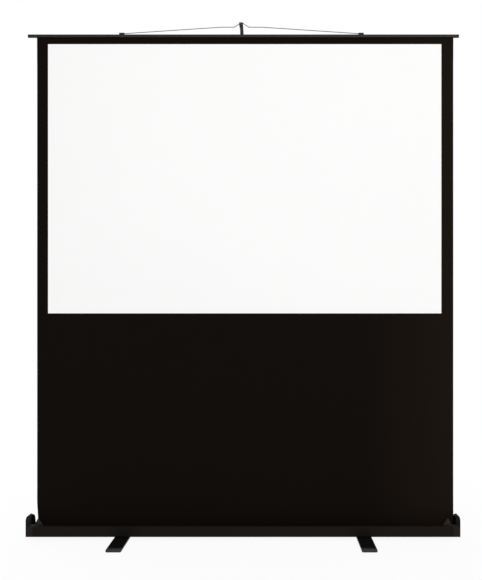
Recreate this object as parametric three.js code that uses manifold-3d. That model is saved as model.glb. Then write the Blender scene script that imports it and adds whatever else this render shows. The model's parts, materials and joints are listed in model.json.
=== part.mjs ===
// A floor-standing projection screen that pulls up out of a long low case, in millimetres.
// X runs along the case to the right, Y away from the audience and Z up.
// The origin lies on the floor, under the case's middle.
import * as THREE from "three";
import { mergeVertices } from "three/addons/utils/BufferGeometryUtils.js";
import Module from "manifold-3d";

// Gaps and cuts
const playGap = 0.3; // between a piece and the one that it turns in, slides in or rests on
const cutOverrun = 1; // how far a cutting shape passes the face that it opens

// Viewing area and sheet
const viewWidth = 1600;
const viewHeight = 1095;
const sideBorder = 47; // the mean of the two, which differ by the viewing area's shift
const topBorder = 27;
const sheetThickness = 0.5;
const viewCoatThickness = 0.3;
const sheetSideShift = 7; // the sheet hangs a little to the right of the case's middle
const viewSideShift = -2; // the viewing area stands a little to the left of the sheet's middle
const hemRadius = 1.6; // the rod that is sewn into the sheet's top edge

// Case extrusion: its length follows from the roller and the end caps
const caseDepth = 90;
const caseHeight = 42.8; // front wall, up to the top of its lip
const caseRearHeight = 32.5;
const caseWall = 2;
const caseLipWidth = 20;
const caseBaseRadius = 4;
const caseLipRadius = 2;

// End caps of the case
const capSleeveLength = 28;
const capPlateThickness = 3;
const capHeight = 78.5;
const capShoulderRadius = 18;
const capRimWidth = 13;
const capRimThickness = 2.5;
const capRimReach = 57; // of the rim's wide part, from the rear face forward over the top of the plate
const capFrontRimWidth = 5;
const capSpigotLength = 14;
const capSpigotThickness = 2;
const tongueLength = 36;
const tongueWidth = 14;
const tongueTipWidth = 8;
const tongueThickness = 2.5;
const finLength = 33; // along the tongue, from its tip
const finHeight = 28; // above the tongue
const finPeakInset = 18; // from the tongue's tip
const finPeakRadius = 2;
const finThickness = 2.5;
const tongueScrewInset = 12; // from the tongue's tip
const tongueScrewRadius = 1.9;
const tongueScrewHeadRadius = 3.6;
const tongueScrewHeadHeight = 2;

// Spring roller
const rollerRadius = 12.5;
const rollerWall = 1;
const rollerOverhang = 1; // past the sheet's edge that lies nearer its end
const rollerRise = 25; // roller axis above the case's underside
const wrapThickness = 1.1; // the turns that stay on the roller
const plugFlangeThickness = 2.5;
const plugSpigotLength = 22;
const axleRadius = 4.5;
const axleOverhang = 1.5;
const bracketPlateThickness = 2.5;
const bracketPlateWidth = 34;
const bracketPlateTop = 12; // above the roller axis
const bracketStandOff = 2.5; // from the roller plug's flange
const axleEndGap = 2.5; // from the axle's end to the cap's plate
const mandrelLength = 430;
const springLength = 380;
const springThickness = 2.6;

// Top bar
const barTopZ = 2045;
const barOverhang = 6.5; // past each end of the case
const barDepth = 12;
const barHeight = 12;
const barCornerRadius = 1.5;
const barSkin = 1.4;
const barChannelWidth = 8;
const barCapLength = 8;
const barPlugLength = 12;

// Wire bail on the top bar
const wireRadius = 1.5;
const bailHalfSpan = 476; // to the inner face of each clip
const bailTailLength = 16; // inside the clip
const bailGripHalfWidth = 85;
const bailGripReach = 34.5;
const bailPeakHalfWidth = 30;
const bailPeakReach = 60.3;
const clipLength = 21;
const clipDepth = 9;
const clipHeight = 7;
const clipAxisRise = 4.3;
const clipCornerRadius = 1.5;

// Mast
const mastSideShift = -8; // the mast and the bail stand a little to the left of the case's middle
const mastPivotRise = 51; // pivot above the case's underside
const outerTubeWidth = 24;
const middleTubeWidth = 19;
const innerTubeWidth = 14;
const mastTubeWall = 1.2;
const tubeCornerRadius = 1.5;
const outerTubeLength = 752;
const pivotInset = 12; // pivot above the outer tube's lower end
const stageOverlap = 80; // how much of a tube stays in the one below it at full height
const bushHeight = 12;
const bushSpigotLength = 8;
const basePlugHeight = 22;

// Clamp collars and their levers
const collarWall = 3.4;
const collarSleeveLength = 30;
const collarGuideLength = 12;
const earThickness = 3;
const earReach = 11;
const earHeight = 14;
const leverWidth = 9;
const leverCamRadius = 5;
const leverLength = 34;
const leverThickness = 3.6;
const clampPinRadius = 2;

// Mast head
const headWidth = 13;
const headTopWidth = 17;
const headLean = 4; // the head's top stands this far to the left of its foot
const headSpigotLength = 16;
const headTopRise = 12; // above the hook finger's axis
const headTopRadius = 4;
const fingerRise = 22; // finger axis, where the wire crosses it, above the inner tube's top
const fingerRadius = 3;
const fingerStandOff = 13; // from the head's front face to the wire
const fingerReachPastWire = 4.5; // to the centre of the finger's round end
const fingerTilt = THREE.MathUtils.degToRad(8); // up towards its free end, so that the wire stays on it

// Mast bracket, its fasteners and the stow clip
const mastBracketThickness = 2.5;
const mastBracketWidth = 44;
const mastBracketFootDrop = 30; // below the case's rear edge
const mastWebDrop = 22; // web's top face below the pivot
const mastStopRise = 13.5; // stop flange above the pivot
const mastStopHeight = 11;
const mastCheekRadius = 6;
const pivotPinRadius = 4;
const pivotHeadRadius = 7;
const pivotHeadThickness = 2.5;
const boltRadius = 2.5;
const boltHeadRadius = 4.5;
const boltHeadThickness = 2.5;
const boltSpacing = 28;
const stowClipPlace = 560; // from the mast pivot, along the case
const stowClipLength = 30;
const stowClipWall = 2;
const stowClipFootDrop = 24;
const stowClipHeight = 15; // outer wall above the clip's floor

// Feet
const footSpacing = 973;
const footLength = 440;
const footWidth = 60;
const footHeight = 12;
const footWall = 1.6;
const footCornerRadius = 5;
const footCapLength = 22;
const footCapFaceRadius = 1; // corners of the cap's end face, inside its rounding
const footCapSpigotLength = 10;
const footCapRoundingSteps = 3;
const padThickness = 2;
const padLength = 26;
const padWidth = 44;
const padInset = 24; // from the foot's end
const washerThickness = 1;
const washerRadius = 15;
const footBoltRadius = 4;
const footBoltHeadRadius = 7.5;
const footBoltHeadThickness = 2.5;
const footAccessGap = 2; // round the bolt's head, in the foot's lower wall

// Facets
const filletSteps = 3;
const roundSides = 20;
const wireSides = 8;

// Places that follow from the sizes above
const sheetWidth = viewWidth + 2 * sideBorder;
const rollerHalf = sheetWidth / 2 + Math.abs(sheetSideShift) + rollerOverhang;
const bracketX = rollerHalf + plugFlangeThickness + bracketStandOff;
const axleEndX = bracketX + bracketPlateThickness + axleOverhang;
const caseHalf = axleEndX + axleEndGap + capPlateThickness;
const caseInnerHalf = caseHalf - capSleeveLength;
const caseFrontY = -caseDepth / 2;
const caseRearY = caseDepth / 2;
const barHalf = caseHalf + barOverhang;
const footTopZ = padThickness + footHeight;
const caseBaseZ = footTopZ + playGap + washerThickness;
const rollRadius = rollerRadius + wrapThickness;
const sheetFrontY = rollRadius + playGap;
const sheetMiddleY = sheetFrontY + sheetThickness / 2;
const sheetBaseZ = caseBaseZ + rollerRise;
const barBaseZ = barTopZ - barHeight;
const mastY = caseRearY + mastBracketThickness + playGap + outerTubeWidth / 2;
const mastPivotZ = caseBaseZ + mastPivotRise;

// The bail leans back until its peak stands over the hook finger, and the finger touches both its slopes.
const bailAxisZ = barTopZ + clipAxisRise;
const wireHookY = mastY - headWidth / 2 - fingerStandOff;
const bailLean = Math.asin((wireHookY - sheetMiddleY) / bailPeakReach);
const bailPeakZ = bailAxisZ + bailPeakReach * Math.cos(bailLean);
const peakReachAboveGrip = bailPeakReach - bailGripReach;
const peakSlope = new THREE.Vector3(
  bailPeakHalfWidth,
  -peakReachAboveGrip * Math.sin(bailLean),
  -peakReachAboveGrip * Math.cos(bailLean),
);
const fingerLine = new THREE.Vector3(0, -Math.cos(fingerTilt), Math.sin(fingerTilt));
const acrossBoth = new THREE.Vector3().crossVectors(peakSlope, fingerLine).normalize();
const fingerZ = bailPeakZ - (fingerRadius + wireRadius + playGap) / Math.abs(acrossBoth.z);

// The two upper tubes are alike in length.
const outerTopRise = outerTubeLength - pivotInset;
const innerTopRise = fingerZ - fingerRise - mastPivotZ;
const stageLength = (innerTopRise - outerTopRise) / 2 + stageOverlap;
const middleTopRise = outerTopRise - stageOverlap + stageLength;

const wasm = await Module();
wasm.setup();

// Joining and cutting
function solidOf(geometry) {
  const bare = geometry.clone();
  bare.deleteAttribute("normal");
  bare.deleteAttribute("uv");
  const merged = mergeVertices(bare);
  return new wasm.Manifold(
    new wasm.Mesh({
      numProp: 3,
      vertProperties: merged.attributes.position.array,
      triVerts: new Uint32Array(merged.index.array),
    }),
  );
}

function geometryOf(solid) {
  const mesh = solid.getMesh();
  const geometry = new THREE.BufferGeometry();
  geometry.setAttribute("position", new THREE.BufferAttribute(mesh.vertProperties, 3));
  geometry.setIndex(new THREE.BufferAttribute(mesh.triVerts, 1));
  const faceted = geometry.toNonIndexed();
  faceted.computeVertexNormals();
  return faceted;
}

function join(first, ...others) {
  return geometryOf(others.reduce((sum, shape) => sum.add(solidOf(shape)), solidOf(first)));
}

function cut(first, ...tools) {
  return geometryOf(tools.reduce((rest, tool) => rest.subtract(solidOf(tool)), solidOf(first)));
}

// Basic shapes
function block([x0, x1], [y0, y1], [z0, z1]) {
  const geometry = new THREE.BoxGeometry(x1 - x0, y1 - y0, z1 - z0);
  return geometry.translate((x0 + x1) / 2, (y0 + y1) / 2, (z0 + z1) / 2);
}

function rodX(radius, from, to, y, z, sides = roundSides) {
  const geometry = new THREE.CylinderGeometry(radius, radius, to - from, sides);
  return geometry.rotateZ(Math.PI / 2).translate((from + to) / 2, y, z);
}

function rodY(radius, from, to, x, z) {
  const geometry = new THREE.CylinderGeometry(radius, radius, to - from, roundSides);
  return geometry.translate(x, (from + to) / 2, z);
}

function rodZ(radius, from, to, x, y) {
  const geometry = new THREE.CylinderGeometry(radius, radius, to - from, roundSides);
  return geometry.rotateX(Math.PI / 2).translate(x, y, (from + to) / 2);
}

function rodBetween(radius, from, to, sides) {
  const run = new THREE.Vector3().subVectors(to, from);
  const geometry = new THREE.CylinderGeometry(radius, radius, run.length(), sides);
  const turn = new THREE.Quaternion().setFromUnitVectors(new THREE.Vector3(0, 1, 0), run.normalize());
  const middle = new THREE.Vector3().addVectors(from, to).divideScalar(2);
  return geometry.applyQuaternion(turn).translate(...middle.toArray());
}

function ball(radius, at, sides) {
  return new THREE.SphereGeometry(radius, sides, sides / 2).translate(...at.toArray());
}

// An outline through corners [x, y, radius], rounded where a corner has a radius.
function outline(corners) {
  const shape = new THREE.Shape();
  const unitToward = (from, to) => new THREE.Vector2(to[0] - from[0], to[1] - from[1]).normalize();
  corners.forEach((corner, i) => {
    const [x, y, radius = 0] = corner;
    const back = unitToward(corner, corners.at(i - 1));
    const ahead = unitToward(corner, corners[(i + 1) % corners.length]);
    const reach = radius === 0 ? 0 : radius / Math.tan(back.angleTo(ahead) / 2);
    const start = [x + back.x * reach, y + back.y * reach];
    if (i === 0) shape.moveTo(...start);
    else shape.lineTo(...start);
    if (radius > 0) shape.quadraticCurveTo(x, y, x + ahead.x * reach, y + ahead.y * reach);
  });
  shape.closePath();
  return shape;
}

function rectangle(width, height, radius = 0) {
  const [x, y] = [width / 2, height / 2];
  return outline([
    [-x, -y, radius],
    [x, -y, radius],
    [x, y, radius],
    [-x, y, radius],
  ]);
}

function prism(shape, depth) {
  return new THREE.ExtrudeGeometry(shape, { depth, bevelEnabled: false, curveSegments: filletSteps });
}

// An outline in Y and Z, drawn out along X.
function prismX(shape, from, to) {
  const turn = new THREE.Matrix4().set(0, 0, 1, from, 1, 0, 0, 0, 0, 1, 0, 0, 0, 0, 0, 1);
  return prism(shape, to - from).applyMatrix4(turn);
}

// An outline in X and Z, drawn out along Y.
function prismY(shape, from, to) {
  return prism(shape, to - from).rotateX(Math.PI / 2).translate(0, to, 0);
}

// An outline in X and Y, drawn out along Z.
function prismZ(shape, from, to) {
  return prism(shape, to - from).translate(0, 0, from);
}

function squareTube(width, wall, from, to) {
  const shape = rectangle(width, width, tubeCornerRadius);
  shape.holes.push(rectangle(width - 2 * wall, width - 2 * wall));
  return prismZ(shape, from, to);
}

function squareBar(width, from, to) {
  return prismZ(rectangle(width, width), from, to);
}

// Materials
const surface = (color, roughness, metalness) =>
  new THREE.MeshStandardMaterial({ color, roughness, metalness });
const blackAnodised = surface(0x1e1b19, 0.45, 0.6);
const blackPlastic = surface(0x25211e, 0.55, 0);
const blackPaint = surface(0x16130f, 0.5, 0.2);
const blackFabric = surface(0x13100d, 0.9, 0);
const whiteFabric = surface(0xf4f4f2, 0.85, 0);
const brightSteel = surface(0xb9b9b6, 0.3, 1);
const blackSteel = surface(0x1c1a18, 0.45, 0.8);
const rubber = surface(0x141414, 0.9, 0);

const screen = new THREE.Group();

function group(parent, x = 0, y = 0, z = 0) {
  const made = new THREE.Group();
  made.position.set(x, y, z);
  parent.add(made);
  return made;
}

function place(parent, name, geometry, material) {
  const mesh = new THREE.Mesh(geometry, material);
  mesh.name = name;
  parent.add(mesh);
}

// Case: an open trough whose front wall ends in a lip turned inward.
function troughOutline() {
  const [front, rear] = [caseFrontY, caseRearY];
  return outline([
    [front, 0, caseBaseRadius],
    [rear, 0, caseBaseRadius],
    [rear, caseRearHeight],
    [rear - caseWall, caseRearHeight],
    [rear - caseWall, caseWall],
    [front + caseWall, caseWall],
    [front + caseWall, caseHeight - caseWall],
    [front + caseLipWidth, caseHeight - caseWall],
    [front + caseLipWidth, caseHeight],
    [front, caseHeight, caseLipRadius],
  ]);
}

function caseBody() {
  const trough = prismX(troughOutline(), -caseInnerHalf, caseInnerHalf);
  const rearWall = [caseRearY - caseWall - cutOverrun, caseRearY + cutOverrun];
  const holes = [-1, 1].map((side) =>
    rodZ(footBoltRadius + playGap, -cutOverrun, caseWall + cutOverrun, (side * footSpacing) / 2, 0),
  );
  for (const x of mastBoltPlaces) holes.push(rodY(boltRadius + playGap, ...rearWall, x, mastBoltRise));
  holes.push(rodY(boltRadius + playGap, ...rearWall, stowBoltPlace, stowBoltRise));
  return cut(trough, ...holes);
}

// End cap: a trough sleeve, an outer plate with a round shoulder, and a rim that the lowered bar lands on.
function capPlateOutline(inset) {
  const [front, rear, top] = [caseFrontY + inset, caseRearY - inset, capHeight - inset];
  return outline([
    [front, inset, caseBaseRadius],
    [rear, inset, caseBaseRadius],
    [rear, top, capShoulderRadius - inset],
    [front, top, capShoulderRadius - inset],
  ]);
}

// A band of the rim, round the plate's outline from a height upward.
function capRimBand(width, base) {
  const inside = caseHalf - width;
  const across = [inside - cutOverrun, caseHalf + cutOverrun];
  return cut(
    prismX(capPlateOutline(0), inside, caseHalf),
    prismX(capPlateOutline(capRimThickness), ...across),
    block(across, [caseFrontY - cutOverrun, caseRearY + cutOverrun], [-cutOverrun, base]),
  );
}

// The rim is wide up the rear and over the top, and goes on down the front to the lip as a narrow band.
function capRim() {
  const wideBand = cut(
    capRimBand(capRimWidth, caseRearHeight - playGap),
    block(
      [caseHalf - capRimWidth - cutOverrun, caseHalf + cutOverrun],
      [caseFrontY - cutOverrun, caseRearY - capRimReach],
      [-cutOverrun, capHeight + cutOverrun],
    ),
  );
  return join(wideBand, capRimBand(capFrontRimWidth, caseHeight - caseWall));
}

// The spigot lines the front wall and the floor of the extrusion.
function capSpigot() {
  const front = caseFrontY + caseWall + playGap;
  const base = caseWall + playGap;
  const top = caseHeight - caseWall - playGap;
  const rear = caseRearY - caseWall - playGap;
  const lining = outline([
    [front, base],
    [rear, base],
    [rear, base + capSpigotThickness],
    [front + capSpigotThickness, base + capSpigotThickness],
    [front + capSpigotThickness, top],
    [front, top],
  ]);
  return prismX(lining, caseInnerHalf - capSpigotLength, caseInnerHalf + capPlateThickness);
}

// Inside the sleeve, a land joins the spigot, which stands off the walls, to the sleeve.
function capSpigotLand() {
  const front = caseFrontY + caseWall / 2;
  const base = caseWall / 2;
  const thickness = caseWall / 2 + playGap + capSpigotThickness;
  const land = outline([
    [front, base],
    [caseRearY - caseWall / 2, base],
    [caseRearY - caseWall / 2, base + thickness],
    [front + thickness, base + thickness],
    [front + thickness, caseHeight - caseWall / 2],
    [front, caseHeight - caseWall / 2],
  ]);
  return prismX(land, caseInnerHalf + playGap, caseInnerHalf + capPlateThickness);
}

const tongueFrontY = caseFrontY + caseLipWidth - tongueWidth;
const tongueTipX = caseInnerHalf - tongueLength;
const tongueScrewX = tongueTipX + tongueScrewInset;
const tongueScrewY = caseFrontY + caseLipWidth - finThickness - tongueTipWidth / 2;

// The tongue lies on the lip, and a pointed fin stands on its rear edge, in front of the sheet.
function capTongue() {
  const rearY = caseFrontY + caseLipWidth;
  const base = caseHeight + playGap;
  const top = base + tongueThickness;
  const tongue = outline([
    [tongueTipX, rearY],
    [tongueTipX, rearY - tongueTipWidth, tongueThickness],
    [caseInnerHalf, tongueFrontY],
    [caseHalf - capPlateThickness / 2, tongueFrontY],
    [caseHalf - capPlateThickness / 2, rearY],
  ]);
  const fin = outline([
    [tongueTipX, base],
    [tongueTipX + finLength, base],
    [tongueTipX + finLength, top],
    [tongueTipX + finPeakInset, top + finHeight, finPeakRadius],
    [tongueTipX, top],
  ]);
  return join(prismZ(tongue, base, top), prismY(fin, rearY - finThickness, rearY));
}

function endCap() {
  const sleeve = prismX(troughOutline(), caseInnerHalf + playGap, caseHalf);
  const plate = prismX(capPlateOutline(0), caseHalf - capPlateThickness, caseHalf);
  const screwHole = [caseHeight - caseWall - cutOverrun, caseHeight + tongueThickness + cutOverrun];
  return cut(
    join(sleeve, plate, capRim(), capSpigotLand(), capSpigot(), capTongue()),
    rodZ(tongueScrewRadius + playGap, ...screwHole, tongueScrewX, tongueScrewY),
  );
}

function tongueScrew() {
  const seat = caseHeight + playGap + tongueThickness;
  return join(
    rodZ(tongueScrewHeadRadius, seat, seat + tongueScrewHeadHeight, tongueScrewX, tongueScrewY),
    rodZ(tongueScrewRadius, caseHeight + playGap, seat + cutOverrun, tongueScrewX, tongueScrewY),
  );
}

// Roller bracket: an upright plate round the axle, with a foot on the cap's floor.
function rollerBracket() {
  const floor = caseWall;
  const halfWidth = bracketPlateWidth / 2;
  const plate = outline([
    [-halfWidth, floor],
    [halfWidth, floor],
    [halfWidth, rollerRise + bracketPlateTop, bracketPlateTop / 2],
    [-halfWidth, rollerRise + bracketPlateTop, bracketPlateTop / 2],
  ]);
  const outerX = caseHalf - capPlateThickness - playGap;
  const upright = prismX(plate, bracketX, bracketX + bracketPlateThickness);
  const foot = block([bracketX, outerX], [-halfWidth, halfWidth], [floor, floor + bracketPlateThickness]);
  const bore = [bracketX - cutOverrun, bracketX + bracketPlateThickness + cutOverrun];
  return cut(join(upright, foot), rodX(axleRadius + playGap, ...bore, 0, rollerRise));
}

// Roller parts, round the roller's axis
function rollerTube() {
  return cut(
    rodX(rollerRadius, -rollerHalf, rollerHalf, 0, 0),
    rodX(rollerRadius - rollerWall, -rollerHalf - cutOverrun, rollerHalf + cutOverrun, 0, 0),
  );
}

function plugBody() {
  const spigotRadius = rollerRadius - rollerWall - playGap;
  return join(
    rodX(rollerRadius, rollerHalf + playGap, rollerHalf + plugFlangeThickness, 0, 0),
    rodX(spigotRadius, rollerHalf - plugSpigotLength, rollerHalf + plugFlangeThickness / 2, 0, 0),
  );
}

function idlerPlug() {
  return join(plugBody(), rodX(axleRadius, rollerHalf, axleEndX, 0, 0));
}

function springPlug() {
  const through = [rollerHalf - plugSpigotLength - cutOverrun, rollerHalf + plugFlangeThickness + cutOverrun];
  return cut(plugBody(), rodX(axleRadius + playGap, ...through, 0, 0));
}

function springMandrel() {
  return rodX(axleRadius, axleEndX - mandrelLength, axleEndX, 0, 0);
}

function rollerSpring() {
  const outer = rollerHalf - plugSpigotLength - playGap;
  const inner = outer - springLength;
  const bore = axleRadius + playGap;
  return cut(
    rodX(bore + springThickness, inner, outer, 0, 0),
    rodX(bore, inner - cutOverrun, outer + cutOverrun, 0, 0),
  );
}

function fabricRoll() {
  const from = sheetSideShift - sheetWidth / 2;
  const to = sheetSideShift + sheetWidth / 2;
  return cut(
    rodX(rollRadius, from, to, 0, 0, 2 * roundSides),
    rodX(rollerRadius + playGap, from - cutOverrun, to + cutOverrun, 0, 0),
  );
}

// Screen sheet: one thin sheet from the roller to the bar, with a hem rod inside the bar's channel.
const hemZ = barBaseZ + barSkin + playGap + hemRadius;

function screenSheet() {
  const from = sheetSideShift - sheetWidth / 2;
  const to = sheetSideShift + sheetWidth / 2;
  const strip = block([from, to], [sheetFrontY, sheetFrontY + sheetThickness], [sheetBaseZ, hemZ]);
  return join(strip, rodX(hemRadius, from, to, sheetMiddleY, hemZ, wireSides));
}

function viewingArea() {
  const middle = sheetSideShift + viewSideShift;
  const half = viewWidth / 2;
  const top = barBaseZ - topBorder;
  return block(
    [middle - half, middle + half],
    [sheetFrontY - viewCoatThickness, sheetFrontY],
    [top - viewHeight, top],
  );
}

// Top bar: a square extrusion with a channel for the hem, open below through a narrow slot.
function barCorners() {
  const half = barDepth / 2;
  return {
    base: [
      [half, 0],
      [half, barHeight, barCornerRadius],
      [-half, barHeight, barCornerRadius],
      [-half, 0],
    ],
    channel: barChannelWidth / 2,
    slot: sheetThickness / 2 + playGap,
    channelTop: barHeight - barSkin,
  };
}

function topBar() {
  const { base, channel, slot, channelTop } = barCorners();
  const end = barHalf - barCapLength - playGap;
  const profile = outline([
    ...base,
    [-slot, 0],
    [-slot, barSkin],
    [-channel, barSkin],
    [-channel, channelTop],
    [channel, channelTop],
    [channel, barSkin],
    [slot, barSkin],
    [slot, 0],
  ]);
  return prismX(profile, -end, end);
}

function barEndCap() {
  const { base, channel, channelTop } = barCorners();
  const start = barHalf - barCapLength;
  const plug = block(
    [start - barPlugLength, start + playGap],
    [playGap - channel, channel - playGap],
    [barSkin + playGap, channelTop - playGap],
  );
  return join(prismX(outline(base), start, barHalf), plug);
}

// Wire clip: a small saddle on the bar, with a bore that the bail's tail turns in.
function wireClip() {
  const from = bailHalfSpan;
  const half = clipDepth / 2;
  const profile = outline([
    [-half, 0],
    [half, 0],
    [half, clipHeight, clipCornerRadius],
    [-half, clipHeight, clipCornerRadius],
  ]);
  const bore = [from - cutOverrun, from + bailTailLength + playGap];
  return cut(
    prismX(profile, from, from + clipLength),
    rodX(wireRadius + playGap, ...bore, 0, clipAxisRise),
  );
}

// Half of the wire bail, bent in the plane of X and Z, with a flat grip run and half a peak over the hook.
// The two halves are one wire: they meet face to face at the peak.
function bailWire() {
  const path = [
    [bailHalfSpan + bailTailLength, 0],
    [bailHalfSpan - playGap - 2 * wireRadius, 0],
    [bailGripHalfWidth, bailGripReach],
    [bailPeakHalfWidth, bailGripReach],
    [0, bailPeakReach],
  ].map(([x, z]) => new THREE.Vector3(x, 0, z));
  const runs = path.slice(1).map((point, i) => rodBetween(wireRadius, path[i], point, wireSides));
  const bends = path.slice(1).map((point) => ball(wireRadius, point, wireSides));
  const beyondPeak = block(
    [-2 * wireRadius, playGap / 2],
    [-2 * wireRadius, 2 * wireRadius],
    [bailGripReach, bailPeakReach + 2 * wireRadius],
  );
  return cut(join(runs[0], ...runs.slice(1), ...bends), beyondPeak);
}

// Mast bracket: two cheeks round the pivot, a web under them, a foot on the rear wall and a stop flange.
const mastBoltRise = caseRearHeight - mastBracketFootDrop / 2;
const mastBoltPlaces = [-1, 1].map((side) => mastSideShift + (side * boltSpacing) / 2);
const stowBoltRise = caseRearHeight - stowClipFootDrop / 2;
const stowBoltPlace = mastSideShift + stowClipPlace;
const mastFrontCheekY = caseRearY - mastY;
const mastRearCheekY = outerTubeWidth / 2 + playGap;

function mastBracket() {
  const half = mastBracketWidth / 2;
  const [frontY, rearY] = [mastFrontCheekY, mastRearCheekY + mastBracketThickness];
  const footZ = caseRearHeight - mastBracketFootDrop - mastPivotRise;
  const topZ = mastStopRise + mastStopHeight;
  const cheek = (baseZ) =>
    outline([
      [-half, baseZ],
      [half, baseZ],
      [half, 0, mastCheekRadius],
      [half / 2, topZ, mastCheekRadius],
      [-half, topZ],
    ]);
  const stopX = -outerTubeWidth / 2 - playGap;
  const body = join(
    prismY(cheek(footZ), frontY, frontY + mastBracketThickness),
    prismY(cheek(-mastWebDrop - mastBracketThickness), mastRearCheekY, rearY),
    block([-half, half], [frontY, rearY], [-mastWebDrop - mastBracketThickness, -mastWebDrop]),
    block([stopX - mastBracketThickness, stopX], [frontY, rearY], [mastStopRise, topZ]),
  );
  const bore = [frontY - cutOverrun, rearY + cutOverrun];
  const boltBore = [frontY - cutOverrun, frontY + mastBracketThickness + cutOverrun];
  const bolts = mastBoltPlaces.map((x) =>
    rodY(boltRadius + playGap, ...boltBore, x - mastSideShift, mastBoltRise - mastPivotRise),
  );
  return cut(body, rodY(pivotPinRadius + playGap, ...bore, 0, 0), ...bolts);
}

// A pin or rivet along Y or Z with a head at each end of its grip.
function headedPin(rod, radius, headRadius, headThickness, from, to) {
  return join(
    rod(radius, from - headThickness / 2, to + headThickness / 2, 0, 0),
    rod(headRadius, from - headThickness, from, 0, 0),
    rod(headRadius, to, to + headThickness, 0, 0),
  );
}

function pivotPin() {
  const from = mastFrontCheekY - playGap;
  const to = mastRearCheekY + mastBracketThickness + playGap;
  return headedPin(rodY, pivotPinRadius, pivotHeadRadius, pivotHeadThickness, from, to);
}

function wallBolt() {
  const from = caseRearY - caseWall - playGap;
  const to = caseRearY + mastBracketThickness + playGap;
  return headedPin(rodY, boltRadius, boltHeadRadius, boltHeadThickness, from, to);
}

// Stow clip: an open cradle on the rear wall that the folded mast lies in.
function stowClip() {
  const floorTop = mastPivotRise - outerTubeWidth / 2 - playGap;
  const inner = caseRearY + mastBracketThickness;
  const outer = mastY + outerTubeWidth / 2 + playGap;
  const profile = outline([
    [caseRearY, caseRearHeight - stowClipFootDrop],
    [inner, caseRearHeight - stowClipFootDrop],
    [inner, floorTop - stowClipWall],
    [outer + stowClipWall, floorTop - stowClipWall, stowClipWall],
    [outer + stowClipWall, floorTop + stowClipHeight],
    [outer, floorTop + stowClipHeight],
    [outer, floorTop],
    [caseRearY, floorTop],
  ]);
  const from = stowBoltPlace - stowClipLength / 2;
  const bore = [caseRearY - cutOverrun, inner + cutOverrun];
  return cut(
    prismX(profile, from, from + stowClipLength),
    rodY(boltRadius + playGap, ...bore, stowBoltPlace, stowBoltRise),
  );
}

// Mast tubes, along Z from the pivot
function outerTube() {
  const tube = squareTube(outerTubeWidth, mastTubeWall, -pivotInset, outerTopRise);
  const half = outerTubeWidth / 2 + cutOverrun;
  return cut(tube, rodY(pivotPinRadius + playGap, -half, half, 0, 0));
}

function basePlug() {
  const width = outerTubeWidth - 2 * mastTubeWall - 2 * playGap;
  const half = width / 2 + cutOverrun;
  return cut(
    squareBar(width, -pivotInset, basePlugHeight - pivotInset),
    rodY(pivotPinRadius + playGap, -half, half, 0, 0),
  );
}

// Guide bush under a sliding tube: it fills the bore of the tube round it.
function guideBush(outsideWidth, insideWidth) {
  return join(
    squareBar(outsideWidth - 2 * mastTubeWall - 2 * playGap, -bushHeight, -playGap),
    squareBar(insideWidth - 2 * mastTubeWall - 2 * playGap, -bushHeight / 2, bushSpigotLength),
  );
}

const leverAxisZ = -earHeight / 2;
const leverAxisY = earReach - leverCamRadius;

// Clamp collar, on the top of one tube and round the next: its ears carry the lever's pin.
function clampCollar(lowerWidth, upperWidth) {
  const half = lowerWidth / 2 + playGap + collarWall;
  const body = prismZ(rectangle(2 * half, 2 * half, collarWall), -collarSleeveLength, collarGuideLength);
  const earInner = leverWidth / 2 + playGap;
  const earSpan = [half - collarWall / 2, half + earReach];
  const ears = [-1, 1].map((side) => {
    const xs = [side * earInner, side * (earInner + earThickness)].sort((a, b) => a - b);
    return block(xs, earSpan, [-earHeight, 0]);
  });
  const beyond = earInner + earThickness + cutOverrun;
  return cut(
    join(body, ...ears),
    squareBar(lowerWidth + 2 * playGap, -collarSleeveLength - cutOverrun, playGap),
    squareBar(upperWidth + 2 * playGap, 0, collarGuideLength + cutOverrun),
    rodX(clampPinRadius + playGap, -beyond, beyond, half + leverAxisY, leverAxisZ),
  );
}

function clampPin() {
  const half = leverWidth / 2 + playGap + earThickness;
  return rodX(clampPinRadius, -half, half, 0, 0);
}

// Clamp lever: a cam on the pin and an arm that hangs down along the tube.
function clampLever() {
  const half = leverWidth / 2;
  const arm = prismY(
    outline([
      [-half, -leverLength, half / 2],
      [half, -leverLength, half / 2],
      [half, 0],
      [-half, 0],
    ]),
    leverCamRadius - leverThickness,
    leverCamRadius,
  );
  const cam = rodX(leverCamRadius, -half, half, 0, 0);
  return cut(join(cam, arm), rodX(clampPinRadius + playGap, -half - cutOverrun, half + cutOverrun, 0, 0));
}

// Mast head, on the inner tube's top: it leans and widens upward, and its finger reaches forward
// under the bail's peak.
function mastHead() {
  const half = headWidth / 2;
  const top = fingerRise + headTopRise;
  const face = outline([
    [-half, playGap],
    [half, playGap],
    [headTopWidth / 2 - headLean, top, headTopRadius],
    [-headTopWidth / 2 - headLean, top, headTopRadius],
  ]);
  const spigotWidth = innerTubeWidth - 2 * mastTubeWall - 2 * playGap;
  const fingerAt = (pastWire) => {
    const rise = fingerRise + pastWire * Math.tan(fingerTilt);
    return new THREE.Vector3(0, -half - fingerStandOff - pastWire, rise);
  };
  const [root, tip] = [fingerAt(-fingerStandOff - half), fingerAt(fingerReachPastWire)];
  return join(
    prismY(face, -half, half),
    squareBar(spigotWidth, -headSpigotLength, 2 * playGap),
    rodBetween(fingerRadius, root, tip, roundSides),
    ball(fingerRadius, tip, roundSides),
  );
}

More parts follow.
